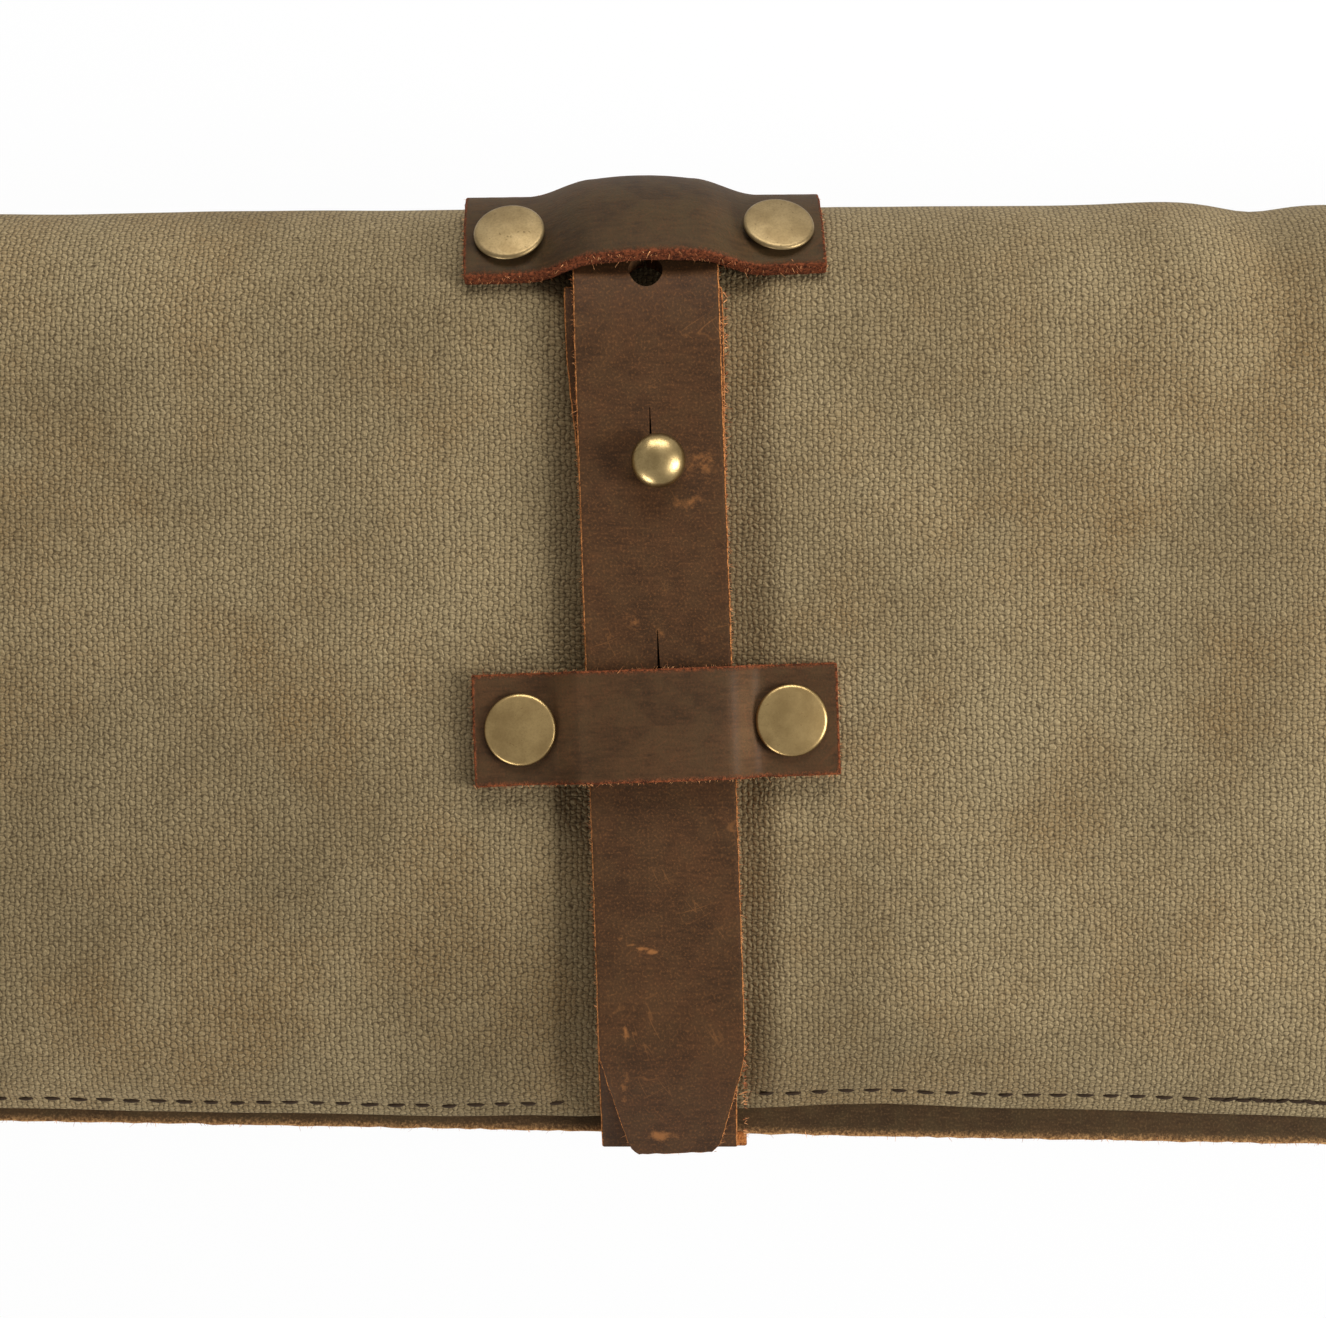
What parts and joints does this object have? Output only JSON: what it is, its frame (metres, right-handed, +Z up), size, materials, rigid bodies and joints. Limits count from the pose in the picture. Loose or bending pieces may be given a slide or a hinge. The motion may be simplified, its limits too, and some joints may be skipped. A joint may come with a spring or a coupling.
{
  "type": "knife roll",
  "caption": "Belted canvas knife roll that opens at its spine on a leather divider and arched knife slots, closed by a leather belt with stud, keepers and rivets.",
  "frame": {"origin": "middle of the roll on the surface that it lies on", "axes": "+X along the roll, +Y from the free hem towards the spine, +Z up"},
  "size_m": [0.46, 0.1751, 0.0703],
  "materials": {
    "canvas": "waxed plain weave",
    "lining": "plain weave",
    "belt_leather": "oiled, with raw cut edges",
    "divider_leather": "oiled, with raw cut edges",
    "brass": "antique satin"
  },
  "bodies": {
    "back": {"back_panel": "canvas", "back_lining": "lining", "knife_pockets": "divider_leather", "belt_back": "belt_leather"},
    "cover": {"front_cover": "canvas", "cover_lining": "lining", "belt_tongue": "belt_leather", "belt_stud_end": "belt_leather", "stud_head": "brass", "stud_base": "brass", "upper_keeper": "belt_leather", "lower_keeper": "belt_leather", "rivet_cap_upper_left": "brass", "rivet_cap_upper_right": "brass", "rivet_cap_lower_left": "brass", "rivet_cap_lower_right": "brass", "rivet_post_upper_left": "brass", "rivet_post_upper_right": "brass", "rivet_post_lower_left": "brass", "rivet_post_lower_right": "brass"},
    "divider": {"divider_page": "divider_leather"},
    "tail": {"belt_tail": "belt_leather"}
  },
  "joints": [
    {"name": "cover_open", "type": "hinge", "parent": "back", "child": "cover", "pos_m": [0, 0.0859, 0.0303], "axis": [-1, 0, 0], "range_deg": [0, 170]},
    {"name": "divider_turn", "type": "hinge", "parent": "back", "child": "divider", "pos_m": [0, 0.0795, 0.0303], "axis": [-1, 0, 0], "range_deg": [0, 85]},
    {"name": "tail_lift", "type": "hinge", "parent": "cover", "child": "tail", "pos_m": [0, -0.027, 0.0639], "axis": [-1, 0, 0], "range_deg": [0, 130]}
  ],
  "couplings": [
    {"joint": "divider_turn", "follows": "cover_open", "ratio": 0.5}
  ]
}
